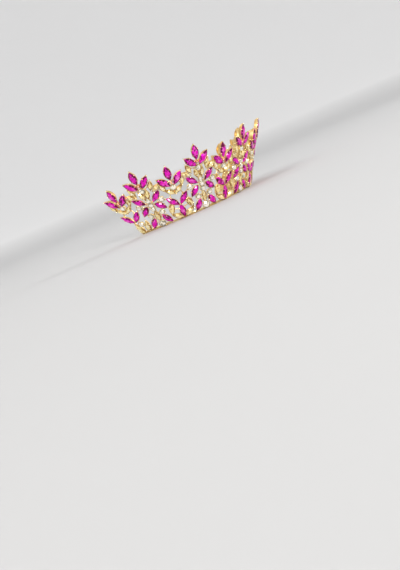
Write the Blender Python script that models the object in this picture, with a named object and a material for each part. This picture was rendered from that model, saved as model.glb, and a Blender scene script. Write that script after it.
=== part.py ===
"""A half-round bridal crown of cut glass stones in gold claw settings.

The wall is an openwork of stones on a flared cone. Tall and short motifs
alternate along it, and a flower of three long stones crowns each of them.
Units are metres, +Z is up, and the front of the crown faces -Y.
"""

import math
from collections import namedtuple

import bmesh
import bpy
from mathutils import Matrix, Vector

MM = 0.001

# The cone that the wall follows
BASE_RADIUS = 76 * MM
FLARE = math.radians(28)
FOOT_LIFT = 1.6 * MM
MOTIF_STEP = math.radians(17.45)
MOTIFS_EACH_SIDE = 5

# Layers of the wall, measured outward from the backs of the settings
GIRDLE = 2.0 * MM
TABLE = 3.4 * MM
TABLE_SHARE = 0.52
# A pear's waist as shares of its half width and half length, and its round end
PEAR_WAIST = (0.56, 0.45)
PEAR_HEAD_DEGREES = (-22, 32, 90, 148, 202)
WIRE_BACK = 0.4 * MM
WIRE_FRONT = 1.6 * MM
WIRE_WIDTH = 1.4 * MM
# Each row of a table sits this much further out, so no two faces share a plane
ROW_STEP = 0.06 * MM

# The flowers: a setting plate for each stone, and the stone just clear of it
PLATE_FRONT = 1.9 * MM
SEAT_GAP = 0.3 * MM
PETAL_GIRDLE = 3.5 * MM
PETAL_TABLE = 5.0 * MM
PLATE_RIM = 0.7 * MM
BEAD_RADIUS = 1.7 * MM
BEAD_BACK = 0.2 * MM
BEAD_FRONT = 3.4 * MM
BEAD_TOP_SHARE = 0.55
BEAD_SIDES = 10

# The base band, a thin strip of the same cone with a level underside, and the
# square feet that hold it to the lowest stones
BAND_BACK = -1.7 * MM
BAND_FRONT = -0.35 * MM
BAND_TOP = 0.3 * MM
BAND_END_MARGIN = math.radians(4.5)
BAND_FACET = math.radians(8.0)
FOOT_SIZE = 1.6 * MM
FOOT_BACK = -0.9 * MM
FOOT_FRONT = 0.9 * MM

GOLD = (0.83, 0.62, 0.27, 1.0)
FUCHSIA = (0.72, 0.02, 0.48, 1.0)

# Stones of one motif, in millimetres on the unrolled wall. across and up give
# the centre, turn is the lean of the long axis from upright in degrees, and
# pair rows are repeated on the other side of the motif.
Stone = namedtuple("Stone", "cut pair across up turn length width")
TALL_STONES = [
    Stone("round", False, 0.0, 3.5, 0, 7.6, 7.6),
    Stone("leaf", False, 0.0, 13.3, 0, 15.4, 5.4),
    Stone("navette", True, 7.4, 6.6, 150, 14.1, 6.4),
    Stone("small", True, 6.3, 15.6, 0, 5.7, 5.7),
    Stone("small", False, 0.0, 22.2, 0, 5.7, 5.7),
    Stone("small", False, 0.0, 27.4, 0, 5.7, 5.7),
    Stone("small", False, 0.0, 32.6, 0, 5.7, 5.7),
    Stone("navette", True, 8.4, 22.7, 137, 13.9, 6.4),
    Stone("navette", True, 9.4, 34.8, 47, 15.0, 6.4),
    Stone("small", True, 12.4, 28.9, 0, 6.1, 6.1),
    Stone("leaf", True, 2.9, 39.8, 13, 11.4, 4.8),
    Stone("small", False, 0.0, 45.4, 0, 6.3, 6.3),
    Stone("leaf", True, 10.1, 47.6, 20, 11.4, 5.0),
    Stone("leaf", True, 14.2, 43.4, 62, 11.8, 5.0),
]
SHORT_STONES = [
    Stone("navette", False, 0.0, 8.0, 0, 15.4, 6.4),
    Stone("leaf", True, 6.3, 4.0, 53, 12.6, 5.2),
    Stone("pear", True, 9.7, 13.0, -15, 13.7, 6.2),
    Stone("navette", True, 5.6, 21.2, 41, 15.7, 6.4),
    Stone("leaf", True, 4.1, 32.2, 53, 12.2, 5.0),
    Stone("small", False, 0.0, 36.2, 0, 6.5, 6.5),
    Stone("leaf", True, 10.1, 39.8, 17, 11.6, 5.0),
]
# The lower pears of an end motif lie toward the middle of the crown
END_STONES = [
    Stone("pear", False, -1.0, 6.7, 172, 13.9, 7.3),
    Stone("pear", False, 8.9, 7.2, 195, 13.3, 6.6),
    Stone("small", False, 3.9, 11.0, 0, 5.7, 5.7),
    Stone("navette", True, 5.6, 21.2, 41, 15.7, 6.4),
    Stone("leaf", True, 4.1, 32.2, 53, 12.2, 5.0),
    Stone("small", False, 0.0, 36.2, 0, 6.5, 6.5),
    Stone("leaf", True, 10.1, 39.8, 17, 11.6, 5.0),
]

# Wires soldered between the settings of one motif, each between two places
Wire = namedtuple("Wire", "pair across_a up_a across_b up_b")
TALL_WIRES = [
    Wire(False, 0.0, 5.0, 0.0, 57.0),
    Wire(True, 0.0, 12.0, 6.6, 8.0),
    Wire(True, 0.0, 16.0, 6.3, 15.6),
    Wire(True, 0.0, 27.4, 7.4, 23.8),
    Wire(True, 0.0, 27.4, 9.0, 34.4),
    Wire(True, 12.4, 28.9, 9.8, 35.0),
    Wire(True, 0.0, 45.4, 9.8, 47.4),
    Wire(True, 10.0, 47.4, 13.9, 43.4),
    Wire(True, 0.0, 52.1, 6.2, 53.4),
]
SHORT_WIRES = [
    Wire(True, 0.0, 10.5, 9.4, 12.6),
    Wire(True, 0.0, 12.0, 5.6, 21.2),
    Wire(True, 0.0, 8.0, 6.3, 4.0),
    Wire(True, 4.3, 32.3, 7.6, 23.6),
    Wire(False, 0.0, 30.6, 0.0, 48.0),
    Wire(True, 0.0, 42.8, 6.2, 44.2),
    Wire(True, 9.0, 25.2, 14.6, 28.8),
]
END_WIRES = [
    Wire(False, 0.0, 8.0, 5.6, 21.2),
    Wire(False, 0.0, 8.0, -5.6, 21.2),
    Wire(False, -0.6, 10.0, 8.6, 9.4),
    Wire(True, 4.3, 32.3, 7.6, 23.6),
    Wire(False, 0.0, 30.6, 0.0, 48.0),
    Wire(True, 0.0, 42.8, 6.2, 44.2),
    Wire(False, 9.0, 25.2, 14.6, 28.8),
]

# Beside the meeting of the two halves only the far side of this wire is there
MEETING_WIRE = Wire(False, 9.0, 25.2, 14.6, 28.8)
NOTCH_MARGIN = 0.4
NOTCH_FRONT = 5.0 * MM

# A small cube inside one setting, which starts the joining of its half
SEED_SIZE = 0.6 * MM
SEED_UP = 8.0 * MM

# Feet of one motif, where the band is soldered to the backs of its stones
Foot = namedtuple("Foot", "across up")
TALL_FEET = [Foot(0.0, 0.8)]
SHORT_FEET = [Foot(0.0, 0.8)]
END_FEET = [Foot(-0.5, 0.8), Foot(8.1, 0.9)]

# Heights of a cut form and the share of its outline at each
SECTIONS = {
    "round": [(0.0, 1.0), (GIRDLE, 1.0), (TABLE, TABLE_SHARE)],
    "navette": [(0.0, 1.0), (GIRDLE, 1.0), (TABLE, TABLE_SHARE)],
    "pear": [(0.0, 1.0), (TABLE, TABLE_SHARE)],
    "leaf": [(0.0, 1.0), (TABLE, TABLE_SHARE)],
    "small": [(0.0, 1.0), (TABLE, TABLE_SHARE)],
}
PLATE_SECTIONS = [(0.0, 1.0), (PLATE_FRONT, 1.0)]
PETAL_SECTIONS = [
    (PLATE_FRONT + SEAT_GAP, 1.0),
    (PETAL_GIRDLE, 1.0),
    (PETAL_TABLE, TABLE_SHARE),
]

Motif = namedtuple("Motif", "angle facing stones wires feet flower_up")

# The flower that crowns a motif, measured from its bead
Petal = namedtuple("Petal", "name across up turn length width")
PETALS = [
    Petal("left", -7.0, 2.1, -43, 16.0, 7.0),
    Petal("top", 0.0, 10.3, 0, 16.2, 7.4),
    Petal("right", 7.0, 2.1, 43, 16.0, 7.0),
]
TALL_FLOWER_UP = 52.1
SHORT_FLOWER_UP = 42.8


def clear_scene():
    for old in list(bpy.data.objects):
        bpy.data.objects.remove(old, do_unlink=True)


def make_material(name, colour, roughness, metallic):
    material = bpy.data.materials.new(name)
    material.use_nodes = True
    shader = material.node_tree.nodes["Principled BSDF"]
    shader.inputs["Base Color"].default_value = colour
    shader.inputs["Roughness"].default_value = roughness
    shader.inputs["Metallic"].default_value = metallic
    return material


def wall_place(motif_angle, across, up, turn_degrees=0.0):
    """The frame of a stone: +X across it, +Y along it, +Z out of the wall."""
    radius = BASE_RADIUS + up * math.sin(FLARE)
    angle = motif_angle + across / radius
    outward = Vector((math.sin(angle), -math.cos(angle), 0))
    sideways = Vector((math.cos(angle), math.sin(angle), 0))
    upward = outward * math.sin(FLARE) + Vector((0, 0, math.cos(FLARE)))
    normal = sideways.cross(upward)
    point = outward * radius + Vector((0, 0, FOOT_LIFT + up * math.cos(FLARE)))
    turn = math.radians(turn_degrees)
    across_axis = sideways * math.cos(turn) - upward * math.sin(turn)
    long_axis = sideways * math.sin(turn) + upward * math.cos(turn)
    frame = Matrix((across_axis, long_axis, normal)).transposed().to_4x4()
    frame.translation = point
    return frame


def outline_of(cut, length, width):
    """Eight corners of a cut stone seen from above, anticlockwise."""
    half_length = length / 2
    half_width = width / 2
    if cut in ("round", "small"):
        corners = [math.radians(22.5 + 45 * step) for step in range(8)]
        return [(half_width * math.cos(a), half_width * math.sin(a)) for a in corners]
    if cut in ("navette", "leaf"):
        side = [(1 - share * share, share) for share in (-0.5, 0.0, 0.5)]
        right = [(half_width * x, half_length * y) for x, y in side]
        left = [(-x, -y) for x, y in right]
        return [(0.0, -half_length)] + right + [(0.0, half_length)] + left
    head_up = half_length - half_width
    head = [math.radians(angle) for angle in PEAR_HEAD_DEGREES]
    round_end = [(half_width * math.cos(a), head_up + half_width * math.sin(a)) for a in head]
    waist_across = PEAR_WAIST[0] * half_width
    waist_up = -PEAR_WAIST[1] * half_length
    foot = [(0.0, -half_length), (waist_across, waist_up)]
    return foot + round_end + [(-waist_across, waist_up)]


def add_stone(mesh, outline, sections, frame):
    """A closed form: the outline at each section's height, scaled by its share."""
    rings = []
    for height, share in sections:
        ring = [mesh.verts.new(frame @ Vector((x * share, y * share, height))) for x, y in outline]
        rings.append(ring)
    mesh.faces.new(reversed(rings[0]))
    mesh.faces.new(rings[-1])
    for lower, upper in zip(rings, rings[1:]):
        for here in range(len(outline)):
            after = (here + 1) % len(outline)
            mesh.faces.new((lower[here], lower[after], upper[after], upper[here]))


def add_block(mesh, frame, width, length, back, front):
    """A square bar on a place of the wall, from its back layer to its front."""
    size = Matrix.Diagonal((width, length, front - back, 1))
    middle = Matrix.Translation((0, 0, (front + back) / 2))
    bmesh.ops.create_cube(mesh, size=1, matrix=frame @ middle @ size)


def add_wire(mesh, motif_angle, wire, side, depth_step):
    """A square wire from one place on the wall to another, inside the settings."""
    start = wall_place(motif_angle, side * wire.across_a * MM, wire.up_a * MM)
    end = wall_place(motif_angle, side * wire.across_b * MM, wire.up_b * MM)
    along = end.translation - start.translation
    normal = start.col[2].xyz + end.col[2].xyz
    across = along.cross(normal).normalized()
    normal = across.cross(along).normalized()
    frame = Matrix((across, along.normalized(), normal)).transposed().to_4x4()
    frame.translation = (start.translation + end.translation) / 2
    back = WIRE_BACK + depth_step / 2
    front = WIRE_FRONT - depth_step / 2
    add_block(mesh, frame, WIRE_WIDTH - depth_step, along.length, back, front)


def add_bead(mesh, frame):
    """A low gold dome at the heart of a flower."""
    bmesh.ops.create_cone(
        mesh,
        cap_ends=True,
        segments=BEAD_SIDES,
        radius1=BEAD_RADIUS,
        radius2=BEAD_RADIUS * BEAD_TOP_SHARE,
        depth=BEAD_FRONT - BEAD_BACK,
        matrix=frame @ Matrix.Translation((0, 0, (BEAD_FRONT + BEAD_BACK) / 2)),
    )


def add_band(mesh, start_angle, end_angle):
    """A stretch of base band: a slanted section, level underneath, spun round."""
    corners = []
    for offset in (BAND_BACK, BAND_FRONT):
        foot_up = (offset * math.sin(FLARE) - FOOT_LIFT) / math.cos(FLARE)
        for up in (foot_up, BAND_TOP):
            radius = BASE_RADIUS + up * math.sin(FLARE) + offset * math.cos(FLARE)
            height = FOOT_LIFT + up * math.cos(FLARE) - offset * math.sin(FLARE)
            corners.append((radius, height))
    back_foot, back_top, front_foot, front_top = corners
    section = [front_foot, front_top, back_top, back_foot]
    start = Vector((math.sin(start_angle), -math.cos(start_angle), 0))
    points = [mesh.verts.new(start * radius + Vector((0, 0, z))) for radius, z in section]
    face = mesh.faces.new(points)
    bmesh.ops.spin(
        mesh,
        geom=[face] + list(face.edges) + points,
        cent=(0, 0, 0),
        axis=(0, 0, 1),
        angle=end_angle - start_angle,
        steps=round((end_angle - start_angle) / BAND_FACET),
        use_duplicate=False,
    )


def sides_of(row):
    return (1, -1) if row.pair else (1,)


def add_motif(mesh, motif):
    for row, stone in enumerate(motif.stones):
        outline = outline_of(stone.cut, stone.length * MM, stone.width * MM)
        for side in sides_of(stone):
            across = stone.across * side * motif.facing
            turn = stone.turn * side * motif.facing
            frame = wall_place(motif.angle, across * MM, stone.up * MM, turn)
            lift = Matrix.Translation((0, 0, (row + side / 4) * ROW_STEP))
            add_stone(mesh, outline, SECTIONS[stone.cut], frame @ lift)
    for row, wire in enumerate(motif.wires):
        for side in sides_of(wire):
            add_wire(mesh, motif.angle, wire, side * motif.facing, row * ROW_STEP)
    for foot in motif.feet:
        frame = wall_place(motif.angle, foot.across * motif.facing * MM, foot.up * MM)
        add_block(mesh, frame, FOOT_SIZE, FOOT_SIZE, FOOT_BACK, FOOT_FRONT)
    for row, petal in enumerate(PETALS):
        outline = outline_of("navette", petal.length * MM + PLATE_RIM, petal.width * MM + PLATE_RIM)
        lift = Matrix.Translation((0, 0, -row * ROW_STEP))
        add_stone(mesh, outline, PLATE_SECTIONS, petal_place(motif, petal) @ lift)
    add_bead(mesh, wall_place(motif.angle, 0.0, motif.flower_up * MM))


def petal_place(motif, petal):
    up = (motif.flower_up + petal.up) * MM
    return wall_place(motif.angle, petal.across * MM, up, petal.turn)


def finish_object(mesh, name, material, collection):
    bmesh.ops.recalc_face_normals(mesh, faces=mesh.faces[:])
    data = bpy.data.meshes.new(name)
    mesh.to_mesh(data)
    mesh.free()
    data.materials.append(material)
    item = bpy.data.objects.new(name, data)
    collection.objects.link(item)
    return item


def motif_rows():
    """Each motif's place and pattern, from the left end to the right end."""
    rows = []
    for index in range(-MOTIFS_EACH_SIDE, MOTIFS_EACH_SIDE + 1):
        angle = index * MOTIF_STEP
        if abs(index) == MOTIFS_EACH_SIDE:
            facing = 1 if index < 0 else -1
            row = Motif(angle, facing, END_STONES, END_WIRES, END_FEET, SHORT_FLOWER_UP)
        elif index % 2 == 0:
            row = Motif(angle, 1, TALL_STONES, TALL_WIRES, TALL_FEET, TALL_FLOWER_UP)
        else:
            row = Motif(angle, 1, SHORT_STONES, SHORT_WIRES, SHORT_FEET, SHORT_FLOWER_UP)
        rows.append(row)
    return rows


def solder(item, tool, operation):
    """Join or cut an object by a tool, and join the forms that overlap in it."""
    tool.display_type = "WIRE"
    tool.hide_render = True
    joint = item.modifiers.new(operation.lower(), "BOOLEAN")
    joint.operation = operation
    joint.solver = "EXACT"
    joint.use_self = operation == "UNION"
    joint.object = tool


def build_openwork(name, motifs, start_angle, end_angle, collection, guides, material):
    """Band, wires and settings with their stones, soldered into one body."""
    mesh = bmesh.new()
    add_band(mesh, start_angle, end_angle)
    for motif in motifs:
        add_motif(mesh, motif)
    openwork = finish_object(mesh, name, material, collection)
    seed_mesh = bmesh.new()
    seed_place = wall_place(motifs[0].angle, 0.0, SEED_UP)
    bmesh.ops.create_cube(seed_mesh, size=SEED_SIZE, matrix=seed_place)
    seed = finish_object(seed_mesh, name + "_seed", material, guides)
    solder(openwork, seed, "UNION")
    return openwork


def build_halves(collection, guides, material):
    """The openwork in two halves that meet beside the middle motif."""
    rows = motif_rows()
    first_right = MOTIFS_EACH_SIDE + 1
    half_arc = MOTIFS_EACH_SIDE * MOTIF_STEP + BAND_END_MARGIN
    meeting = MOTIF_STEP / 2
    half_gap = SEAT_GAP / BASE_RADIUS / 2
    left = rows[:first_right]
    right = rows[first_right:]
    build_openwork(
        "openwork_left", left, -half_arc, meeting - half_gap, collection, guides, material
    )
    right[0] = right[0]._replace(wires=right[0].wires[:-1] + [MEETING_WIRE])
    right_half = build_openwork(
        "openwork_right", right, meeting + half_gap, half_arc, collection, guides, material
    )
    outer_leaf = left[-1].stones[-1]
    length = (outer_leaf.length + 2 * NOTCH_MARGIN) * MM
    width = (outer_leaf.width + 2 * NOTCH_MARGIN) * MM
    frame = wall_place(0.0, outer_leaf.across * MM, outer_leaf.up * MM, outer_leaf.turn)
    notch_mesh = bmesh.new()
    sections = [(-NOTCH_MARGIN * MM, 1.0), (NOTCH_FRONT, 1.0)]
    add_stone(notch_mesh, outline_of("leaf", length, width), sections, frame)
    notch = finish_object(notch_mesh, "meeting_notch", material, guides)
    solder(right_half, notch, "DIFFERENCE")


def build_petals(collection, material):
    """The three long stones of every flower, each a stone of its own."""
    for number, motif in enumerate(motif_rows(), start=1):
        for petal in PETALS:
            mesh = bmesh.new()
            outline = outline_of("navette", petal.length * MM, petal.width * MM)
            add_stone(mesh, outline, PETAL_SECTIONS, petal_place(motif, petal))
            finish_object(mesh, f"petal_{petal.name}_{number:02d}", material, collection)


def centre_over_origin(crown_parts, guides):
    """Parent everything to an empty that brings the crown's middle over the origin."""
    bpy.context.view_layer.update()
    corners = [Vector(corner) for item in crown_parts.objects for corner in item.bound_box]
    middle_y = (min(c.y for c in corners) + max(c.y for c in corners)) / 2
    centre = bpy.data.objects.new("crown_centre", None)
    crown_parts.objects.link(centre)
    for item in list(crown_parts.objects) + list(guides.objects):
        if item is not centre:
            item.parent = centre
    centre.location = (0, -middle_y, 0)


clear_scene()
crown = bpy.data.collections.new("bridal_crown")
guides = bpy.data.collections.new("guides")
bpy.context.scene.collection.children.link(crown)
bpy.context.scene.collection.children.link(guides)
gold = make_material("gold_plated_settings", GOLD, 0.25, 1.0)
fuchsia = make_material("fuchsia_glass", FUCHSIA, 0.08, 0.0)
build_halves(crown, guides, gold)
build_petals(crown, fuchsia)
centre_over_origin(crown, guides)
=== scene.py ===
"""Looks of a half-round bridal crown of cut glass stones in gold claw settings."""

import math
from collections import namedtuple

import bmesh
import bpy
from mathutils import Matrix, Vector


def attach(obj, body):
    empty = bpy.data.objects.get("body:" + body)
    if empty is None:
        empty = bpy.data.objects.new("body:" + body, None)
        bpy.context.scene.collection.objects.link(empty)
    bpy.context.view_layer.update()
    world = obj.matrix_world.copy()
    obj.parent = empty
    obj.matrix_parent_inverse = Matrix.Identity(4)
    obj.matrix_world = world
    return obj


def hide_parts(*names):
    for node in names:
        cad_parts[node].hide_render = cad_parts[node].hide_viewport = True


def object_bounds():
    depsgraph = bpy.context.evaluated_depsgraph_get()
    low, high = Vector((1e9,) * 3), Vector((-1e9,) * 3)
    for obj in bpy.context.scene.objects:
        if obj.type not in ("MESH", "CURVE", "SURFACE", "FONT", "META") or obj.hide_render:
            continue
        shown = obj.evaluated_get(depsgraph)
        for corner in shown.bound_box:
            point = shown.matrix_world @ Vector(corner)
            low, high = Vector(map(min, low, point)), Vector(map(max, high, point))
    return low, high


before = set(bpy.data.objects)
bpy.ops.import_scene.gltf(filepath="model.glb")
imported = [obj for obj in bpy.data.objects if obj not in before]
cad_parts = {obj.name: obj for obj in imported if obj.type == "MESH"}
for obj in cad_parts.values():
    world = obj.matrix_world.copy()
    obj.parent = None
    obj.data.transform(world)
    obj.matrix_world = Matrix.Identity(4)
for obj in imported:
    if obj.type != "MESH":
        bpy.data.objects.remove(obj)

MM = 0.001
cad_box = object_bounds()


# The studio: a pale paper bowl with no corner, painted paler up its wall as painted fill light where
# less light falls, four soft boxes and a tilted lens at crown height.
FLOOR_RADIUS = 1.2
COVE_RADIUS = 4.0
COVE_STEPS = 24
WALL_TOP = 4.5
BOWL_SIDES = 96
FLOOR_TONE = (0.58, 0.575, 0.569, 1.0)
PAINTED_FILL_WALL_TONE = (0.86, 0.853, 0.844, 1.0)
PAINTED_FILL_HEIGHT = 0.05
BACKDROP_ROUGHNESS = 0.9

VIEW_AZIMUTH = math.radians(-55)
VIEW_ELEVATION = math.radians(1)
VIEW_ROLL = math.radians(23.1)
VIEW_DISTANCE = 0.9
# How much the frame shows from top to bottom at the crown's distance
VIEW_HEIGHT = 0.6
SENSOR_SIZE = 36.0
# How far right of and below the crown's middle the lens points
AIM_RIGHT = -9.5 * MM
AIM_DOWN = 120 * MM

# Angles in degrees, distance and size in metres, power in watts
SoftBox = namedtuple("SoftBox", "name azimuth elevation distance size power colour")
SOFT_BOXES = [
    SoftBox("key_soft_box", -90, 38, 3.0, 1.1, 4.2, (1.0, 0.98, 0.95)),
    SoftBox("front_soft_box", -38, 10, 2.2, 0.35, 6.2, (1.0, 0.99, 0.97)),
    SoftBox("side_soft_box", 50, 22, 2.4, 0.6, 3.0, (0.97, 0.98, 1.0)),
    SoftBox("back_soft_box", 160, 45, 3.0, 1.2, 1.4, (1.0, 1.0, 1.0)),
]
BEAM_SPREAD = math.radians(80)
SKY_TONE = (0.97, 0.98, 1.0, 1.0)
SKY_STRENGTH = 0.92


def direction_to(azimuth, elevation):
    level = math.cos(elevation)
    return Vector((math.sin(azimuth) * level, -math.cos(azimuth) * level, math.sin(elevation)))


def link(item):
    bpy.context.scene.collection.objects.link(item)
    return item


def feed(tree, socket, value):
    """Links a socket to another socket, or sets it to a plain value."""
    if isinstance(value, bpy.types.NodeSocket):
        tree.links.new(value, socket)
    else:
        socket.default_value = value


def add_node(tree, kind, settings=None, **values):
    """A node with its settings, and values for the sockets that are named."""
    node = tree.nodes.new(kind)
    for key, value in (settings or {}).items():
        setattr(node, key, value)
    for label, value in values.items():
        feed(tree, node.inputs[label.replace("_", " ")], value)
    return node


def mix_colours(tree, share, first, second):
    """The colour that lies a share of the way from the first to the second."""
    mix = add_node(tree, "ShaderNodeMix", {"data_type": "RGBA"}, Factor=share)
    sockets = {socket.identifier: socket for socket in [*mix.inputs, *mix.outputs]}
    feed(tree, sockets["A_Color"], first)
    feed(tree, sockets["B_Color"], second)
    return sockets["Result_Color"]


def matte_backdrop():
    material = bpy.data.materials.new("matte_backdrop")
    material.use_nodes = True
    tree = material.node_tree
    place = add_node(tree, "ShaderNodeTexCoord").outputs["Object"]
    height = add_node(tree, "ShaderNodeSeparateXYZ", Vector=place).outputs["Z"]
    # Painted fill light: the tone goes from the floor's to a paler one up the wall, where less light
    # falls.
    painted_fill = add_node(tree, "ShaderNodeMapRange", Value=height, From_Max=PAINTED_FILL_HEIGHT)
    tone = mix_colours(tree, painted_fill.outputs["Result"], FLOOR_TONE, PAINTED_FILL_WALL_TONE)
    shader = tree.nodes["Principled BSDF"]
    feed(tree, shader.inputs["Base Color"], tone)
    feed(tree, shader.inputs["Roughness"], BACKDROP_ROUGHNESS)
    return material


def build_studio():
    profile = [(0.0, 0.0), (FLOOR_RADIUS, 0.0)]
    for step in range(1, COVE_STEPS + 1):
        turn = math.pi / 2 * step / COVE_STEPS
        out = FLOOR_RADIUS + COVE_RADIUS * math.sin(turn)
        profile.append((out, COVE_RADIUS * (1 - math.cos(turn))))
    profile.append((FLOOR_RADIUS + COVE_RADIUS, WALL_TOP))
    bowl = bmesh.new()
    points = [bowl.verts.new((out, 0, height)) for out, height in profile]
    rim = [bowl.edges.new(pair) for pair in zip(points, points[1:])]
    bmesh.ops.spin(
        bowl,
        geom=points + rim,
        cent=(0, 0, 0),
        axis=(0, 0, 1),
        angle=math.tau,
        steps=BOWL_SIDES,
        use_merge=True,
    )
    bmesh.ops.remove_doubles(bowl, verts=bowl.verts[:], dist=1e-6)
    bmesh.ops.recalc_face_normals(bowl, faces=bowl.faces[:])
    for face in bowl.faces:
        face.smooth = True
        if face.normal.z < 0:
            face.normal_flip()
    data = bpy.data.meshes.new("studio_bowl")
    bowl.to_mesh(data)
    bowl.free()
    data.materials.append(matte_backdrop())
    link(bpy.data.objects.new("studio_bowl", data))

    for box in SOFT_BOXES:
        lamp = bpy.data.lights.new(box.name, "AREA")
        lamp.size = box.size
        lamp.energy = box.power
        lamp.color = box.colour
        lamp.spread = BEAM_SPREAD
        item = link(bpy.data.objects.new(box.name, lamp))
        item.visible_camera = False
        ray = direction_to(math.radians(box.azimuth), math.radians(box.elevation))
        item.location = ray * box.distance
        item.rotation_euler = (-ray).to_track_quat("-Z", "Y").to_euler()

    sky = bpy.data.worlds.new("studio_sky")
    sky.use_nodes = True
    background = sky.node_tree.nodes["Background"]
    background.inputs["Color"].default_value = SKY_TONE
    background.inputs["Strength"].default_value = SKY_STRENGTH
    bpy.context.scene.world = sky
    bpy.context.scene.view_settings.view_transform = "Standard"


def place_camera():
    low, high = cad_box
    middle = (low + high) / 2
    lens = bpy.data.cameras.new("portrait_lens")
    lens.sensor_width = SENSOR_SIZE
    lens.lens = SENSOR_SIZE * VIEW_DISTANCE / VIEW_HEIGHT
    lens.clip_start = 0.01
    lens.clip_end = 50.0
    camera = link(bpy.data.objects.new("portrait_camera", lens))
    back = direction_to(VIEW_AZIMUTH, VIEW_ELEVATION)
    level_right = Vector((0, 0, 1)).cross(back).normalized()
    level_up = back.cross(level_right)
    right = level_right * math.cos(VIEW_ROLL) - level_up * math.sin(VIEW_ROLL)
    up = level_right * math.sin(VIEW_ROLL) + level_up * math.cos(VIEW_ROLL)
    camera.location = middle + back * VIEW_DISTANCE
    aim = middle + right * AIM_RIGHT - up * AIM_DOWN
    toward_lens = (camera.location - aim).normalized()
    lens_right = up.cross(toward_lens).normalized()
    lens_up = toward_lens.cross(lens_right)
    turn = Matrix((lens_right, lens_up, toward_lens)).transposed()
    camera.rotation_euler = turn.to_euler()
    bpy.context.scene.camera = camera


build_studio()
place_camera()


# The base band: a thin gold-plated strip, rolled, bent to the foot of a flared
# cone and cut level underneath. Everything above it is soldered to it.
BASE_RADIUS = 76 * MM
FLARE = math.radians(28)
FOOT_LIFT = 1.6 * MM
AXIS_BEHIND = 51.96 * MM
MOTIF_STEP = math.radians(17.45)
MOTIFS_EACH_SIDE = 5
BAND_BACK = -1.6 * MM
BAND_FRONT = -0.45 * MM
BAND_TOP = 0.2 * MM
BAND_END_MARGIN = math.radians(4.4)
BAND_STEPS = 120
BAND_EDGE = 0.2 * MM
BAND_EDGE_STEPS = 2
# Along the arc a section's second axis points down
SECTION_UP = -1

GOLD_PALE = (1.0, 0.86, 0.52, 1.0)
GOLD_DEEP = (0.90, 0.62, 0.26, 1.0)
TINT_PATCH_SCALE = 190.0
TINT_PATCH_RANGE = (0.36, 0.64)
POLISH_RANGE = (0.12, 0.34)
HAMMER_DEPTH = 0.05 * MM


def wall_place(motif_angle, across, up, turn_degrees=0.0):
    """A place on the wall: +X across it, +Y along the stone, +Z out of the wall."""
    radius = BASE_RADIUS + up * math.sin(FLARE)
    angle = motif_angle + across / radius
    outward = direction_to(angle, 0.0)
    sideways = Vector((math.cos(angle), math.sin(angle), 0))
    upward = outward * math.sin(FLARE) + Vector((0, 0, math.cos(FLARE)))
    normal = sideways.cross(upward)
    turn = math.radians(turn_degrees)
    across_axis = sideways * math.cos(turn) - upward * math.sin(turn)
    long_axis = sideways * math.sin(turn) + upward * math.cos(turn)
    place = Matrix((across_axis, long_axis, normal)).transposed().to_4x4()
    height = Vector((0, AXIS_BEHIND, FOOT_LIFT + up * math.cos(FLARE)))
    place.translation = outward * radius + height
    return place


def new_group(kind, name, inputs, outputs):
    """An empty node group with its named sockets."""
    tree = bpy.data.node_groups.new(name, kind)
    for label, socket_type in inputs:
        tree.interface.new_socket(label, in_out="INPUT", socket_type=socket_type)
    for label, socket_type in outputs:
        tree.interface.new_socket(label, in_out="OUTPUT", socket_type=socket_type)
    return tree


def math_node(tree, operation, *values):
    """The result of a sum on sockets and plain numbers."""
    node = add_node(tree, "ShaderNodeMath", {"operation": operation})
    for socket, value in zip(node.inputs, values):
        feed(tree, socket, value)
    return node.outputs["Value"]


def plating_wear():
    """Uneven gold plate: tint, roughness and fine hammering for any gold piece."""
    sockets = [
        ("Pale", "NodeSocketColor"),
        ("Deep", "NodeSocketColor"),
        ("Grain", "NodeSocketFloat"),
        ("Polish Loss", "NodeSocketFloat"),
    ]
    results = [
        ("Colour", "NodeSocketColor"),
        ("Roughness", "NodeSocketFloat"),
        ("Height", "NodeSocketFloat"),
    ]
    tree = new_group("ShaderNodeTree", "plating_wear", sockets, results)
    given = tree.nodes.new("NodeGroupInput").outputs
    place = add_node(tree, "ShaderNodeTexCoord").outputs["Object"]
    patches = add_node(tree, "ShaderNodeTexNoise", Vector=place, Scale=TINT_PATCH_SCALE, Detail=3.0)
    low, high = TINT_PATCH_RANGE
    spread = add_node(
        tree, "ShaderNodeMapRange", Value=patches.outputs["Fac"], From_Min=low, From_Max=high
    )
    grain = add_node(tree, "ShaderNodeTexNoise", Vector=place, Scale=given["Grain"], Detail=2.0)
    bright, dull = POLISH_RANGE
    polish = add_node(
        tree, "ShaderNodeMapRange", Value=grain.outputs["Fac"], To_Min=bright, To_Max=dull
    )
    out = tree.nodes.new("NodeGroupOutput").inputs
    feed(tree, out["Colour"], mix_colours(tree, spread.outputs["Result"], given["Deep"], given["Pale"]))
    feed(tree, out["Roughness"], math_node(tree, "ADD", polish.outputs["Result"], given["Polish Loss"]))
    feed(tree, out["Height"], grain.outputs["Fac"])
    return tree


PLATING_WEAR = plating_wear()


def gold_plate(name, pale, deep, grain, bump, polish_loss=0.0):
    """Gold plate over a cast or drawn piece."""
    material = bpy.data.materials.new(name)
    material.use_nodes = True
    tree = material.node_tree
    wear = add_node(
        tree,
        "ShaderNodeGroup",
        {"node_tree": PLATING_WEAR},
        Pale=pale,
        Deep=deep,
        Grain=grain,
        Polish_Loss=polish_loss,
    ).outputs
    relief = add_node(
        tree, "ShaderNodeBump", Height=wear["Height"], Strength=bump, Distance=HAMMER_DEPTH
    )
    shader = tree.nodes["Principled BSDF"].inputs
    feed(tree, shader["Base Color"], wear["Colour"])
    feed(tree, shader["Roughness"], wear["Roughness"])
    feed(tree, shader["Normal"], relief.outputs["Normal"])
    feed(tree, shader["Metallic"], 1.0)
    return material


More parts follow.
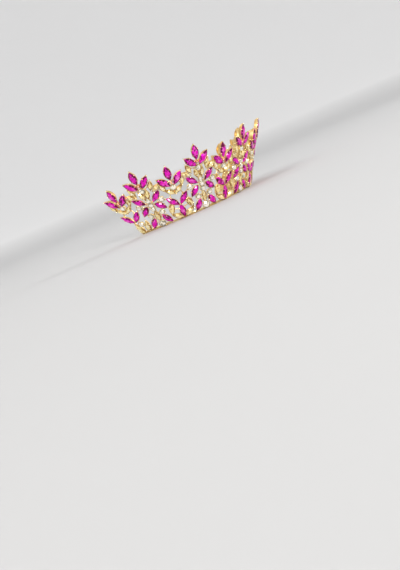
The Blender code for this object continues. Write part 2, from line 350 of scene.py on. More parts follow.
def finish_group(tree, geometry, material):
    """Ends a geometry group: real meshes, in their material."""
    real = add_node(tree, "GeometryNodeRealizeInstances", Geometry=geometry)
    finish = add_node(
        tree, "GeometryNodeSetMaterial", Geometry=real.outputs["Geometry"], Material=material
    )
    out = tree.nodes.new("NodeGroupOutput")
    tree.links.new(finish.outputs["Geometry"], out.inputs["Geometry"])


def band_tree():
    """Softens the corners of a section and sweeps it along an arc, ends closed."""
    sockets = [
        ("Geometry", "NodeSocketGeometry"),
        ("Arc Radius", "NodeSocketFloat"),
        ("Half Angle", "NodeSocketFloat"),
        ("Edge", "NodeSocketFloat"),
        ("Finish", "NodeSocketMaterial"),
    ]
    tree = new_group("GeometryNodeTree", "flared_band", sockets, [("Geometry", "NodeSocketGeometry")])
    given = tree.nodes.new("NodeGroupInput").outputs
    arc = add_node(
        tree,
        "GeometryNodeCurveArc",
        Resolution=BAND_STEPS,
        Radius=given["Arc Radius"],
        Start_Angle=math_node(tree, "SUBTRACT", -math.pi / 2, given["Half Angle"]),
        Sweep_Angle=math_node(tree, "MULTIPLY", given["Half Angle"], 2.0),
    )
    upright = add_node(tree, "GeometryNodeSetCurveNormal", {"mode": "Z_UP"}, Curve=arc.outputs["Curve"])
    section = add_node(tree, "GeometryNodeMeshToCurve", Mesh=given["Geometry"])
    soft = add_node(
        tree,
        "GeometryNodeFilletCurve",
        {"mode": "POLY"},
        Curve=section.outputs["Curve"],
        Radius=given["Edge"],
        Count=BAND_EDGE_STEPS,
    )
    solid = add_node(
        tree,
        "GeometryNodeCurveToMesh",
        Curve=upright.outputs["Curve"],
        Profile_Curve=soft.outputs["Curve"],
        Fill_Caps=True,
    )
    finish_group(tree, solid.outputs["Mesh"], given["Finish"])
    return tree


def grow(name, seed_mesh, tree, values, place=None):
    """Runs a node tree on a mesh and keeps the result as a plain piece."""
    seed = link(bpy.data.objects.new(name + "_seed", seed_mesh))
    modifier = seed.modifiers.new("grow", "NODES")
    modifier.node_group = tree
    for socket in tree.interface.items_tree:
        if socket.in_out == "INPUT" and socket.name in values:
            modifier[socket.identifier] = values[socket.name]
    seed.update_tag()
    bpy.context.view_layer.update()
    grown = seed.evaluated_get(bpy.context.evaluated_depsgraph_get())
    data = bpy.data.meshes.new_from_object(grown)
    data.name = name
    seed.modifiers.remove(modifier)
    bpy.data.objects.remove(seed)
    if place is not None:
        data.transform(place)
    return link(bpy.data.objects.new(name, data))


def build_base_band():
    corners = []
    for offset in (BAND_BACK, BAND_FRONT):
        foot_up = (offset * math.sin(FLARE) - FOOT_LIFT) / math.cos(FLARE)
        for up in (foot_up, BAND_TOP):
            point = wall_place(0.0, 0.0, up) @ Vector((0, 0, offset))
            corners.append((AXIS_BEHIND - point.y - BASE_RADIUS, SECTION_UP * point.z, 0))
    back_foot, back_top, front_foot, front_top = corners
    section = bpy.data.meshes.new("band_section")
    ring = [back_foot, back_top, front_top, front_foot]
    section.from_pydata(ring, [(0, 1), (1, 2), (2, 3), (3, 0)], [])
    values = {
        "Arc Radius": BASE_RADIUS,
        "Half Angle": MOTIFS_EACH_SIDE * MOTIF_STEP + BAND_END_MARGIN,
        "Edge": BAND_EDGE,
        "Finish": gold_plate("rolled_gold_strip", GOLD_PALE, GOLD_DEEP, grain=900.0, bump=0.15),
    }
    band = grow("base_band", section, band_tree(), values, Matrix.Translation((0, AXIS_BEHIND, 0)))
    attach(band, "root")


build_base_band()


# The claw settings: a cast, gold-plated cup for each stone, with a window in
# its back, and claws bent over its edge. Tall and short motifs alternate, and
# the ends carry two low pears. All sizes are millimetres on the unrolled wall.
Stone = namedtuple("Stone", "cut pair across up turn length width")
TALL_STONES = [
    Stone("round", False, 0.0, 3.5, 0, 7.6, 7.6),
    Stone("leaf", False, 0.0, 13.3, 0, 15.4, 5.4),
    Stone("navette", True, 7.4, 6.6, 150, 14.1, 6.4),
    Stone("small", True, 6.3, 15.6, 0, 5.7, 5.7),
    Stone("small", False, 0.0, 22.2, 0, 5.7, 5.7),
    Stone("small", False, 0.0, 27.4, 0, 5.7, 5.7),
    Stone("small", False, 0.0, 32.6, 0, 5.7, 5.7),
    Stone("navette", True, 8.4, 22.7, 137, 13.9, 6.4),
    Stone("navette", True, 9.4, 34.8, 47, 15.0, 6.4),
    Stone("small", True, 12.4, 28.9, 0, 6.1, 6.1),
    Stone("leaf", True, 2.9, 39.8, 13, 11.4, 4.8),
    Stone("small", False, 0.0, 45.4, 0, 6.3, 6.3),
    Stone("leaf", True, 10.1, 47.6, 20, 11.4, 5.0),
    Stone("leaf", True, 14.2, 43.4, 62, 11.8, 5.0),
]
SHORT_STONES = [
    Stone("navette", False, 0.0, 8.0, 0, 15.4, 6.4),
    Stone("leaf", True, 6.3, 4.0, 53, 12.6, 5.2),
    Stone("pear", True, 9.7, 13.0, -15, 13.7, 6.2),
    Stone("navette", True, 5.6, 21.2, 41, 15.7, 6.4),
    Stone("leaf", True, 4.1, 32.2, 53, 12.2, 5.0),
    Stone("small", False, 0.0, 36.2, 0, 6.5, 6.5),
    Stone("leaf", True, 10.1, 39.8, 17, 11.6, 5.0),
]
END_STONES = [
    Stone("pear", False, -1.0, 6.7, 172, 13.9, 7.3),
    Stone("pear", False, 8.9, 7.2, 195, 13.3, 6.6),
    Stone("small", False, 3.9, 11.0, 0, 5.7, 5.7),
    Stone("navette", True, 5.6, 21.2, 41, 15.7, 6.4),
    Stone("leaf", True, 4.1, 32.2, 53, 12.2, 5.0),
    Stone("small", False, 0.0, 36.2, 0, 6.5, 6.5),
    Stone("leaf", True, 10.1, 39.8, 17, 11.6, 5.0),
]
# The flower above each motif, measured from its bead
FLOWER_STONES = [
    Stone("navette", False, -7.0, 2.1, -43, 16.0, 7.0),
    Stone("navette", False, 0.0, 10.3, 0, 16.2, 7.4),
    Stone("navette", False, 7.0, 2.1, 43, 16.0, 7.0),
]
TALL_FLOWER_UP = 52.1
SHORT_FLOWER_UP = 42.8
# Sizes that the forms of each cut are drawn at, before they are stretched
CUT_SIZES = {"round": (6.0, 6.0), "navette": (14.0, 6.4), "leaf": (11.5, 4.8), "pear": (12.8, 6.4)}
# Height of a stone's girdle, its widest edge, over the back of its cup
GIRDLE = 2.0
FLOWER_GIRDLE = 3.4
# The cups' gold is painted darker than the claws', as painted shade in the recesses round the stones.
SHADED_CUP_GOLD_PALE = (0.95, 0.72, 0.34, 1.0)
SHADED_CUP_GOLD_DEEP = (0.66, 0.40, 0.12, 1.0)
# How far the outside and the inside of a cup's lip stand off the stone's outline
LIP_OUTSIDE = 0.12
LIP_INSIDE = -0.05
LIP_HEIGHT = 1.95
CUP_WAIST_SHARE = 0.97
CUP_WAIST_HEIGHT = 1.1
CUP_FLOOR_SHARE = 0.9
CUP_FLOOR_HEIGHT = 1.2
CUP_FOOT_SHARE = 0.8
BACK_HOLE_SHARE = 0.55
BACK_HOLE_DEPTH = 0.6
OUTLINE_STEPS = 16
TEARDROP_WIDEST = 0.77
# Steps of this share never repeat, so neighbours never get like tones
GOLDEN_SHARE = 0.381966
FIRST_STONE_TONE = 0.37
# The stretch of a copy that keeps the size of its form
AS_DRAWN = [(1.0, 1.0, 1.0)]
# Share of the outline, counted from the stone's foot, where each claw stands
CLAW_SHARES = {
    "round": (1 / 8, 3 / 8, 5 / 8, 7 / 8),
    "navette": (0.0, 0.15, 0.35, 0.5, 0.65, 0.85),
    "leaf": (0.0, 0.25, 0.5, 0.75),
    "pear": (0.0, 0.2, 0.42, 0.58, 0.8),
}
# Share of the outline over which its direction at a claw is taken
CLAW_REACH = 0.02
# Y, Z, half width and half thickness of each section of a claw, up the outside
# of its cup, over the girdle and down onto the crown of the stone
CLAW_SECTIONS = [
    (-0.30, 0.5, 0.42, 0.22),
    (-0.34, 1.9, 0.40, 0.24),
    (-0.22, 2.55, 0.38, 0.26),
    (0.22, 2.95, 0.36, 0.24),
    (0.62, 3.0, 0.22, 0.12),
]

Motif = namedtuple("Motif", "angle facing kind stones flower_up")
Place = namedtuple("Place", "cut matrix length width deep")


def motif_rows():
    """Each motif's place and pattern, from the left end to the right end."""
    rows = []
    for index in range(-MOTIFS_EACH_SIDE, MOTIFS_EACH_SIDE + 1):
        angle = index * MOTIF_STEP
        if abs(index) == MOTIFS_EACH_SIDE:
            facing = 1 if index < 0 else -1
            rows.append(Motif(angle, facing, "end", END_STONES, SHORT_FLOWER_UP))
        elif index % 2 == 0:
            rows.append(Motif(angle, 1, "tall", TALL_STONES, TALL_FLOWER_UP))
        else:
            rows.append(Motif(angle, 1, "short", SHORT_STONES, SHORT_FLOWER_UP))
    return rows


def stone_place(motif, stone, side):
    across = stone.across * side * motif.facing
    turn = stone.turn * side * motif.facing
    return wall_place(motif.angle, across * MM, stone.up * MM, turn)


def wall_stones(*cuts):
    """The places of all stones of some cuts in the wall."""
    places = []
    for motif in MOTIFS:
        for stone in motif.stones:
            if stone.cut not in cuts:
                continue
            for side in (1, -1) if stone.pair else (1,):
                matrix = stone_place(motif, stone, side)
                places.append(Place(stone.cut, matrix, stone.length, stone.width, GIRDLE))
    return places


def flower_stones():
    places = []
    for motif in MOTIFS:
        for petal in FLOWER_STONES:
            up = (motif.flower_up + petal.up) * MM
            matrix = wall_place(motif.angle, petal.across * MM, up, petal.turn)
            places.append(Place("navette", matrix, petal.length, petal.width, FLOWER_GIRDLE))
    return places


MOTIFS = motif_rows()


def outline_point(cut, share, length, width):
    """A corner of a cut's outline, share 0 at its foot and 0.5 at its head."""
    turn = math.tau * share
    if cut == "round":
        return Vector((width / 2 * math.sin(turn), -length / 2 * math.cos(turn)))
    if cut == "pear":
        bulge = math.sin(turn) * math.sin(turn / 2) / TEARDROP_WIDEST
        return Vector((width / 2 * bulge, -length / 2 * math.cos(turn)))
    along = 4 * share - 1 if share <= 0.5 else 3 - 4 * share
    side = 1 if share <= 0.5 else -1
    return Vector((side * width / 2 * (1 - along * along), length / 2 * along))


def outline_of(cut, steps=OUTLINE_STEPS, offset=0.0):
    """The outline as a ring of corners, moved outward by an offset."""
    length, width = CUT_SIZES[cut]
    ring = [outline_point(cut, step / steps, length, width) for step in range(steps)]
    moved = []
    for here, corner in enumerate(ring):
        edge = ring[(here + 1) % steps] - ring[here - 1]
        outward = Vector((edge.y, -edge.x)).normalized()
        moved.append(corner + outward * offset)
    return moved


def add_ring(mesh, corners, share, height):
    return [mesh.verts.new((c.x * share * MM, c.y * share * MM, height * MM)) for c in corners]


def join_rings(mesh, lower, upper):
    for here in range(len(lower)):
        after = (here + 1) % len(lower)
        mesh.faces.new((lower[here], lower[after], upper[after], upper[here]))


def finish_form(mesh, name):
    bmesh.ops.recalc_face_normals(mesh, faces=mesh.faces[:])
    data = bpy.data.meshes.new(name)
    mesh.to_mesh(data)
    mesh.free()
    return data


def cap_and_finish(mesh, rings, name):
    """Joins rings into one closed form, with a face across each end."""
    for lower, upper in zip(rings, rings[1:]):
        join_rings(mesh, lower, upper)
    mesh.faces.new(rings[0])
    mesh.faces.new(rings[-1])
    return finish_form(mesh, name)


def cup_form(cut):
    """A cup with a lip round the girdle and a blind window in its back."""
    mesh = bmesh.new()
    outer = outline_of(cut, offset=LIP_OUTSIDE)
    inner = outline_of(cut, offset=LIP_INSIDE)
    rings = [
        add_ring(mesh, outer, BACK_HOLE_SHARE, BACK_HOLE_DEPTH),
        add_ring(mesh, outer, BACK_HOLE_SHARE, 0.0),
        add_ring(mesh, outer, CUP_FOOT_SHARE, 0.0),
        add_ring(mesh, outer, CUP_WAIST_SHARE, CUP_WAIST_HEIGHT),
        add_ring(mesh, outer, 1.0, LIP_HEIGHT),
        add_ring(mesh, inner, 1.0, LIP_HEIGHT),
        add_ring(mesh, inner, CUP_FLOOR_SHARE, CUP_FLOOR_HEIGHT),
    ]
    return cap_and_finish(mesh, rings, cut + "_cup")


def claw_form():
    """A claw: +Y points at the stone's middle and +Z out of the wall."""
    mesh = bmesh.new()
    rings = []
    for here, (y, z, half_width, half_thickness) in enumerate(CLAW_SECTIONS):
        before = CLAW_SECTIONS[max(here - 1, 0)]
        after = CLAW_SECTIONS[min(here + 1, len(CLAW_SECTIONS) - 1)]
        along = Vector((0, after[0] - before[0], after[1] - before[1])).normalized()
        face = Vector((0, -along.z, along.y))
        ring = []
        for turn in range(30, 360, 60):
            x = half_width * math.cos(math.radians(turn))
            lift = half_thickness * math.sin(math.radians(turn))
            ring.append(mesh.verts.new((Vector((x, y, z)) + face * lift) * MM))
        rings.append(ring)
    claw = cap_and_finish(mesh, rings, "claw")
    for face in claw.polygons:
        face.use_smooth = len(face.vertices) == 4
    return claw


def setting_tree():
    """Sets a copy of a form on every place of a point cloud, turned and stretched."""
    sockets = [
        ("Geometry", "NodeSocketGeometry"),
        ("Form", "NodeSocketObject"),
        ("Finish", "NodeSocketMaterial"),
    ]
    tree = new_group("GeometryNodeTree", "set_on_places", sockets, [("Geometry", "NodeSocketGeometry")])
    given = tree.nodes.new("NodeGroupInput").outputs
    form = add_node(tree, "GeometryNodeObjectInfo", Object=given["Form"])
    vector = {"data_type": "FLOAT_VECTOR"}
    turn = add_node(tree, "GeometryNodeInputNamedAttribute", vector, Name="turn")
    stretch = add_node(tree, "GeometryNodeInputNamedAttribute", vector, Name="stretch")
    euler = add_node(tree, "FunctionNodeEulerToRotation", Euler=turn.outputs["Attribute"])
    placed = add_node(
        tree,
        "GeometryNodeInstanceOnPoints",
        Points=given["Geometry"],
        Instance=form.outputs["Geometry"],
        Rotation=euler.outputs["Rotation"],
        Scale=stretch.outputs["Attribute"],
    )
    finish_group(tree, placed.outputs["Instances"], given["Finish"])
    return tree


SETTING_TREE = setting_tree()


def set_copies(name, form, matrices, stretches, material):
    """Copies of a form on a list of places, as one mesh."""
    points = bpy.data.meshes.new(name + "_places")
    points.from_pydata([matrix.translation for matrix in matrices], [], [])
    points.attributes.new("turn", "FLOAT_VECTOR", "POINT")
    points.attributes.new("stretch", "FLOAT_VECTOR", "POINT")
    points.attributes.new("stone_tone", "FLOAT", "POINT")
    for here, (matrix, stretch) in enumerate(zip(matrices, stretches)):
        points.attributes["turn"].data[here].vector = matrix.to_euler()
        points.attributes["stretch"].data[here].vector = stretch
        tone = (here * GOLDEN_SHARE + FIRST_STONE_TONE) % 1.0
        points.attributes["stone_tone"].data[here].value = tone
    form.materials.append(material)
    form_object = link(bpy.data.objects.new(name + "_form", form))
    made = grow(name, points, SETTING_TREE, {"Form": form_object, "Finish": material})
    bpy.data.objects.remove(form_object)
    return made


def family(cut):
    return "round" if cut == "small" else cut


def stretch_of(place):
    length, width = CUT_SIZES[family(place.cut)]
    return (place.width / width, place.length / length, place.deep / GIRDLE)


def join_pieces(name, parts):
    """Several meshes as one piece."""
    joined = bmesh.new()
    for part in parts:
        joined.from_mesh(part.data)
    data = bpy.data.meshes.new(name)
    joined.to_mesh(data)
    joined.free()
    for material in parts[0].data.materials:
        data.materials.append(material)
    for part in parts:
        bpy.data.objects.remove(part)
    return link(bpy.data.objects.new(name, data))


def build_cups(name, places, material):
    parts = []
    for cut in CUT_SIZES:
        chosen = [place for place in places if family(place.cut) == cut]
        if chosen:
            matrices = [place.matrix for place in chosen]
            stretches = [stretch_of(place) for place in chosen]
            parts.append(set_copies(f"{name}_{cut}", cup_form(cut), matrices, stretches, material))
    return join_pieces(name, parts)


def claw_places(place):
    """Where the claws of one stone stand, each turned to the stone's middle."""
    cut = family(place.cut)
    found = []
    for share in CLAW_SHARES[cut]:
        corner = outline_point(cut, share, place.length, place.width)
        before = outline_point(cut, (share - CLAW_REACH) % 1, place.length, place.width)
        after = outline_point(cut, (share + CLAW_REACH) % 1, place.length, place.width)
        along = (after - before).normalized()
        inward = Vector((-along.y, along.x))
        local = Matrix(((along.x, inward.x, 0), (along.y, inward.y, 0), (0, 0, 1))).to_4x4()
        local.translation = (corner.x * MM, corner.y * MM, (place.deep - GIRDLE) * MM)
        found.append(place.matrix @ local)
    return found


def build_claws(name, places, material):
    matrices = [matrix for place in places for matrix in claw_places(place)]
    return set_copies(name, claw_form(), matrices, AS_DRAWN * len(matrices), material)


# Painted shade: the cups take the darker gold.
SHADED_CUP_GOLD = gold_plate(
    "cast_gold_cups", SHADED_CUP_GOLD_PALE, SHADED_CUP_GOLD_DEEP, grain=1400.0, bump=0.3, polish_loss=0.16
)
CLAW_GOLD = gold_plate("bright_gold_claws", GOLD_PALE, GOLD_DEEP, grain=1100.0, bump=0.1)


def build_wall_settings():
    places = wall_stones("round", "small", "navette", "leaf", "pear")
    cups = build_cups("wall_cups", places, SHADED_CUP_GOLD)
    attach(cups, "root")
    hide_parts("openwork_left", "openwork_right")
    claws = build_claws("wall_claws", places, CLAW_GOLD)
    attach(claws, "root")


build_wall_settings()


# The stones of the wall: pressed glass with a foil behind it, each cut with a
# table, star, kite and girdle facets. Fuchsia navettes, champagne leaves and
# pears, and clear round stones, held by their claws.
TABLE_SHARE = 0.56
STAR_SHARE = 0.80
CROWN_HEIGHT = 1.5
STAR_HEIGHT = 0.95
GIRDLE_EDGE = 0.2
MAIN_FACETS = 8
BOTTOM_DEPTH = -1.1
BOTTOM_SHARE = 0.7
RIDGE_SHARE = 0.25
# Facets that stay this near the height of the table count as lit through it, and are painted brighter
EDGE_DEPTH = 0.6
FIRST_FACET_TONE = 0.11
# What is added to the tone of a lit facet, which marks it for the material to paint brighter
LIT_MARK = 1.0
LIT_GAIN = 0.5
# Patches across a stone that shift where it is painted lit or shaded, and how polished it is
LIGHT_AND_POLISH_PATCH_SCALE = 420.0
PAINTED_LIGHT_PATCH_GAIN = 0.5
# Levels between which a facet's painted light turns from painted shade (deep) to bright, and on to
# painted glints (flashing)
FOIL_STEPS = (("Bright", 0.86, 1.10), ("Flash", 1.50, 1.68))
FOIL_ROUGHNESS = (0.05, 0.22)
GLASS_COAT = 0.2
GLASS_COAT_ROUGHNESS = 0.03
GLASS_IOR = 1.5

# Each glass's deep tone is painted shade and its flash tone a painted glint; its bright tone is the
# glass's own colour.
FoiledTones = namedtuple("FoiledTones", "deep bright flash metal")
FUCHSIA_TONES = FoiledTones((0.13, 0.0, 0.035, 1), (0.88, 0.0, 0.56, 1), (1.0, 0.22, 0.74, 1), 0.65)
CHAMPAGNE_TONES = FoiledTones((0.36, 0.20, 0.05, 1), (1.0, 0.85, 0.40, 1), (1.0, 0.98, 0.78, 1), 0.5)
CLEAR_TONES = FoiledTones((0.34, 0.32, 0.23, 1), (1.0, 0.97, 0.82, 1), (1.0, 1.0, 0.97, 1), 0.5)


def stone_form(cut):
    """The crown of a cut stone on its girdle, with a tone per facet that picks its painted light and
    shade, and a mark on the lit facets.
    """
    mesh = bmesh.new()
    tone = mesh.faces.layers.float.new("facet_tone")
    full = outline_of(cut, 2 * MAIN_FACETS)
    table = add_ring(mesh, full[1::2], TABLE_SHARE, CROWN_HEIGHT)
    star = add_ring(mesh, full[0::2], STAR_SHARE, STAR_HEIGHT)
    upper = add_ring(mesh, full, 1.0, GIRDLE_EDGE)
    lower = add_ring(mesh, full, 1.0, 0.0)
    bottom = add_ring(mesh, full, BOTTOM_SHARE, BOTTOM_DEPTH)
    # The far facets seen through the table meet along a short ridge
    foot, head = add_ring(mesh, (full[0], full[MAIN_FACETS]), RIDGE_SHARE, CROWN_HEIGHT)
    for here in range(MAIN_FACETS):
        after = (here + 1) % MAIN_FACETS
        corner = upper[2 * here + 1]
        mesh.faces.new((table[here - 1], star[here], table[here]))
        mesh.faces.new((table[here], star[here], corner, star[after]))
        mesh.faces.new((star[here], upper[2 * here], corner))
        mesh.faces.new((star[after], corner, upper[2 * after]))
    for here in (-1, 0, 1):
        mesh.faces.new((table[here - 1], table[here], foot))
        mesh.faces.new((table[here + 3], table[here + 4], head))
    mesh.faces.new((table[1], table[2], head, foot))
    mesh.faces.new((table[5], table[6], foot, head))
    join_rings(mesh, lower, upper)
    join_rings(mesh, bottom, lower)
    mesh.faces.new(bottom)
    for here, face in enumerate(mesh.faces):
        lit = min((v.co.z for v in face.verts)) > (CROWN_HEIGHT - EDGE_DEPTH) * MM
        face[tone] = (here * GOLDEN_SHARE + FIRST_FACET_TONE) % 1.0 + (LIT_MARK if lit else 0.0)
    return finish_form(mesh, cut + "_stone")


def foil_fire():
    """Painted light of a facet over foil: painted shade (deep), bright, or a painted glint (flashing),
    by facet and stone.
    """
    sockets = [("Deep", "NodeSocketColor"), ("Bright", "NodeSocketColor"), ("Flash", "NodeSocketColor")]
    results = [("Colour", "NodeSocketColor"), ("Roughness", "NodeSocketFloat")]
    tree = new_group("ShaderNodeTree", "foil_fire", sockets, results)
    given = tree.nodes.new("NodeGroupInput").outputs
    facet = add_node(tree, "ShaderNodeAttribute", {"attribute_name": "facet_tone"})
    stone = add_node(tree, "ShaderNodeAttribute", {"attribute_name": "stone_tone"})
    both = add_node(tree, "ShaderNodeCombineXYZ", X=facet.outputs["Fac"], Y=stone.outputs["Fac"])
    chance = add_node(tree, "ShaderNodeTexWhiteNoise", Vector=both.outputs["Vector"])
    place = add_node(tree, "ShaderNodeTexCoord").outputs["Object"]
    # Painted light in patches: this noise moves facets towards painted brightness or shade, and sets
    # the polish.
    painted_light_and_polish_patches = add_node(tree, "ShaderNodeTexNoise", Vector=place, Scale=LIGHT_AND_POLISH_PATCH_SCALE, Detail=2.0)
    blend = math_node(
        tree, "MULTIPLY_ADD", painted_light_and_polish_patches.outputs["Fac"], PAINTED_LIGHT_PATCH_GAIN, chance.outputs["Value"]
    )
    lit = math_node(tree, "GREATER_THAN", facet.outputs["Fac"], LIT_MARK)
    level = math_node(tree, "MULTIPLY_ADD", lit, LIT_GAIN, blend)
    colour = given["Deep"]
    for label, low, high in FOIL_STEPS:
        share = add_node(
            tree,
            "ShaderNodeMapRange",
            {"interpolation_type": "SMOOTHSTEP"},
            Value=level,
            From_Min=low,
            From_Max=high,
        )
        colour = mix_colours(tree, share.outputs["Result"], colour, given[label])
    smooth, rough = FOIL_ROUGHNESS
    polish = add_node(
        tree, "ShaderNodeMapRange", Value=painted_light_and_polish_patches.outputs["Fac"], To_Min=smooth, To_Max=rough
    )
    out = tree.nodes.new("NodeGroupOutput").inputs
    feed(tree, out["Colour"], colour)
    feed(tree, out["Roughness"], polish.outputs["Result"])
    return tree


PAINTED_FOIL_LIGHT = foil_fire()


def foiled_glass(name, glass):
    """Clear or tinted glass with a bright foil behind it, whose light and shade are painted facet by
    facet.
    """
    material = bpy.data.materials.new(name)
    material.use_nodes = True
    tree = material.node_tree
    foil_paint = add_node(
        tree,
        "ShaderNodeGroup",
        {"node_tree": PAINTED_FOIL_LIGHT},
        Deep=glass.deep,
        Bright=glass.bright,
        Flash=glass.flash,
    ).outputs
    shader = tree.nodes["Principled BSDF"].inputs
    feed(tree, shader["Base Color"], foil_paint["Colour"])
    feed(tree, shader["Roughness"], foil_paint["Roughness"])
    feed(tree, shader["Metallic"], glass.metal)
    feed(tree, shader["Coat Weight"], GLASS_COAT)
    feed(tree, shader["Coat Roughness"], GLASS_COAT_ROUGHNESS)
    feed(tree, shader["IOR"], GLASS_IOR)
    return material


def build_stones(name, places, material):
    parts = []
    for cut in CUT_SIZES:
        chosen = [place for place in places if family(place.cut) == cut]
        if chosen:
            matrices = [p.matrix @ Matrix.Translation((0, 0, p.deep * MM)) for p in chosen]
            stretches = [stretch_of(place)[:2] + (1.0,) for place in chosen]
            parts.append(set_copies(f"{name}_{cut}", stone_form(cut), matrices, stretches, material))
    stones = join_pieces(name, parts)
    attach(stones, "root")
    return stones


FUCHSIA_GLASS = foiled_glass("fuchsia_foiled_glass", FUCHSIA_TONES)
CHAMPAGNE_GLASS = foiled_glass("champagne_foiled_glass", CHAMPAGNE_TONES)
CLEAR_GLASS = foiled_glass("clear_foiled_glass", CLEAR_TONES)
build_stones("fuchsia_navettes", wall_stones("navette"), FUCHSIA_GLASS)
build_stones("champagne_leaves", wall_stones("leaf", "pear"), CHAMPAGNE_GLASS)
build_stones("clear_rounds", wall_stones("round", "small"), CLEAR_GLASS)


# The flowers: three long fuchsia navettes round a pinkish gold bead on top of
# each motif, in deeper cups than the wall's, so that they stand proud of it.
BEAD_RADIUS = 1.7
BEAD_SIDES = 14
BEAD_GOLD_PALE = (1.0, 0.66, 0.50, 1.0)
BEAD_GOLD_DEEP = (0.86, 0.38, 0.26, 1.0)
# Radius share and height of each ring of a bead, from its foot
BEAD_RINGS = [(0.9, 0.2), (1.0, 0.9), (1.0, 2.6), (0.86, 2.8), (0.86, 3.3), (0.76, 3.9), (0.45, 4.4)]


def bead_form():
    """A round bead on a collar."""
    mesh = bmesh.new()
    corners = [math.tau * step / BEAD_SIDES for step in range(BEAD_SIDES)]
    circle = [Vector((BEAD_RADIUS * math.cos(a), BEAD_RADIUS * math.sin(a))) for a in corners]
    rings = [add_ring(mesh, circle, share, height) for share, height in BEAD_RINGS]
    bead = cap_and_finish(mesh, rings, "flower_bead")
    for face in bead.polygons:
        face.use_smooth = True
    return bead


def build_flowers():
    places = flower_stones()
    cups = build_cups("flower_cups", places, SHADED_CUP_GOLD)
    claws = build_claws("flower_claws", places, CLAW_GOLD)
    for piece in (cups, claws):
        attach(piece, "root")
    petals = build_stones("flower_petals", places, FUCHSIA_GLASS)
    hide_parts(*[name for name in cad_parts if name.startswith("petal_")])
    rose_gold = gold_plate("rose_gold_bead", BEAD_GOLD_PALE, BEAD_GOLD_DEEP, grain=1200.0, bump=0.15)
    matrices = [wall_place(motif.angle, 0.0, motif.flower_up * MM) for motif in MOTIFS]
    beads = set_copies("flower_beads", bead_form(), matrices, AS_DRAWN * len(matrices), rose_gold)
    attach(beads, "root")


build_flowers()


# The joining wires: short drawn gold-plated wires soldered from cup to cup
# behind the stones, square feet that hold the lowest cups to the base band,
# and small balls of solder in the gaps beside the upper navettes.
Wire = namedtuple("Wire", "pair across_a up_a across_b up_b")
TALL_WIRES = [
    Wire(False, 0.0, 5.0, 0.0, 57.0),
    Wire(True, 0.0, 12.0, 6.6, 8.0),
    Wire(True, 0.0, 16.0, 6.3, 15.6),
    Wire(True, 0.0, 27.4, 7.4, 23.8),
    Wire(True, 0.0, 27.4, 9.0, 34.4),
    Wire(True, 12.4, 28.9, 9.8, 35.0),
    Wire(True, 0.0, 45.4, 9.8, 47.4),
    Wire(True, 10.0, 47.4, 13.9, 43.4),
    Wire(True, 0.0, 52.1, 6.2, 53.4),
]
SHORT_WIRES = [
    Wire(True, 0.0, 10.5, 9.4, 12.6),
    Wire(True, 0.0, 12.0, 5.6, 21.2),
    Wire(True, 0.0, 8.0, 6.3, 4.0),
    Wire(True, 4.3, 32.3, 7.6, 23.6),
    Wire(False, 0.0, 30.6, 0.0, 48.0),
    Wire(True, 0.0, 42.8, 6.2, 44.2),
    Wire(True, 9.0, 25.2, 14.6, 28.8),
]
END_WIRES = [
    Wire(False, 0.0, 8.0, 5.6, 21.2),
    Wire(False, 0.0, 8.0, -5.6, 21.2),
    Wire(False, -0.6, 10.0, 8.6, 9.4),
    Wire(True, 4.3, 32.3, 7.6, 23.6),
    Wire(False, 0.0, 30.6, 0.0, 48.0),
    Wire(True, 0.0, 42.8, 6.2, 44.2),
    Wire(False, 9.0, 25.2, 14.6, 28.8),
]
MOTIF_WIRES = {"tall": TALL_WIRES, "short": SHORT_WIRES, "end": END_WIRES}
WIRE_RADIUS = 0.55 * MM
WIRE_DEPTH = 0.9 * MM
WIRE_BEND_STEPS = 6
WIRE_SIDES = 8
# Across and up of each foot and each seed ball of a motif
FOOT_SPOTS = {"tall": [(0.0, 0.8)], "short": [(0.0, 0.8)], "end": [(-0.5, 0.8), (8.1, 0.9)]}
FOOT_SIZE = 1.6
FOOT_BACK = -0.9
FOOT_FRONT = 0.9
FOOT_EDGE = 0.15
FOOT_END_SHARE = 0.85
SEED_SPOTS = {
    "tall": [(-7.8, 28.0), (7.8, 28.0)],
    "short": [(-6.6, 26.4), (6.6, 26.4)],
    "end": [(-6.6, 26.4), (6.6, 26.4)],
}
SEED_RADIUS = 1.0
SEED_DEPTH = 1.9
SEED_SIDES = 12
SEED_RINGS = 6


def wire_tree():
    """Draws a round wire along every line of a mesh and closes its ends."""
    sockets = [
        ("Geometry", "NodeSocketGeometry"),
        ("Wire Radius", "NodeSocketFloat"),
        ("Finish", "NodeSocketMaterial"),
    ]
    tree = new_group("GeometryNodeTree", "drawn_wires", sockets, [("Geometry", "NodeSocketGeometry")])
    given = tree.nodes.new("NodeGroupInput").outputs
    lines = add_node(tree, "GeometryNodeMeshToCurve", Mesh=given["Geometry"])
    section = add_node(
        tree, "GeometryNodeCurvePrimitiveCircle", Resolution=WIRE_SIDES, Radius=given["Wire Radius"]
    )
    wires = add_node(
        tree,
        "GeometryNodeCurveToMesh",
        Curve=lines.outputs["Curve"],
        Profile_Curve=section.outputs["Curve"],
        Fill_Caps=True,
    )
    finish_group(tree, wires.outputs["Mesh"], given["Finish"])
    return tree


def foot_form():
    """A square block with softened ends."""
    mesh = bmesh.new()
    half = FOOT_SIZE / 2
    square = [Vector(corner) for corner in ((-half, -half), (half, -half), (half, half), (-half, half))]
    rings = [
        add_ring(mesh, square, FOOT_END_SHARE, FOOT_BACK),
        add_ring(mesh, square, 1.0, FOOT_BACK + FOOT_EDGE),
        add_ring(mesh, square, 1.0, FOOT_FRONT - FOOT_EDGE),
        add_ring(mesh, square, FOOT_END_SHARE, FOOT_FRONT),
    ]
    return cap_and_finish(mesh, rings, "band_foot")


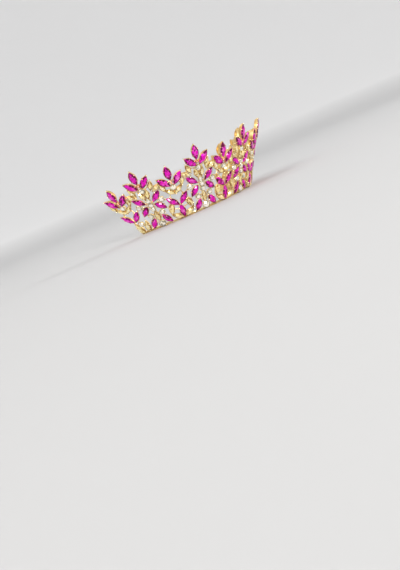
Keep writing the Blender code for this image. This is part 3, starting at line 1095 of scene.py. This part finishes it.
def seed_form():
    """A small round ball that fills a gap between two cups."""
    mesh = bmesh.new()
    bmesh.ops.create_uvsphere(
        mesh, u_segments=SEED_SIDES, v_segments=SEED_RINGS, radius=SEED_RADIUS * MM
    )
    bmesh.ops.translate(mesh, verts=mesh.verts[:], vec=(0, 0, SEED_DEPTH * MM))
    for face in mesh.faces:
        face.smooth = True
    return finish_form(mesh, "gold_seed")


def small_piece(name, form, spots, material):
    """Copies of a form on spots of the motifs, each spot an across and an up."""
    matrices = []
    for motif in MOTIFS:
        for across, up in spots[motif.kind]:
            matrices.append(wall_place(motif.angle, across * motif.facing * MM, up * MM))
    piece = set_copies(name, form, matrices, AS_DRAWN * len(matrices), material)
    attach(piece, "root")


def wire_points(motif, wire, side):
    """Points along a wire that follows the wall from one cup to another."""
    points = []
    for step in range(WIRE_BEND_STEPS + 1):
        share = step / WIRE_BEND_STEPS
        across = wire.across_a + (wire.across_b - wire.across_a) * share
        up = wire.up_a + (wire.up_b - wire.up_a) * share
        place = wall_place(motif.angle, across * side * motif.facing * MM, up * MM)
        points.append(place @ Vector((0, 0, WIRE_DEPTH)))
    return points


def wire_lines():
    """The middle lines of all wires, as one mesh of edges."""
    lines = bmesh.new()
    for motif in MOTIFS:
        for wire in MOTIF_WIRES[motif.kind]:
            for side in (1, -1) if wire.pair else (1,):
                points = [lines.verts.new(point) for point in wire_points(motif, wire, side)]
                for pair in zip(points, points[1:]):
                    lines.edges.new(pair)
    data = bpy.data.meshes.new("wire_lines")
    lines.to_mesh(data)
    lines.free()
    return data


def build_wires():
    drawn_gold = gold_plate("drawn_gold_wire", GOLD_PALE, GOLD_DEEP, grain=700.0, bump=0.1)
    values = {"Wire Radius": WIRE_RADIUS, "Finish": drawn_gold}
    wires = grow("joining_wires", wire_lines(), wire_tree(), values)
    for face in wires.data.polygons:
        face.use_smooth = True
    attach(wires, "root")
    small_piece("band_feet", foot_form(), FOOT_SPOTS, drawn_gold)
    small_piece("gold_seeds", seed_form(), SEED_SPOTS, drawn_gold)


build_wires()
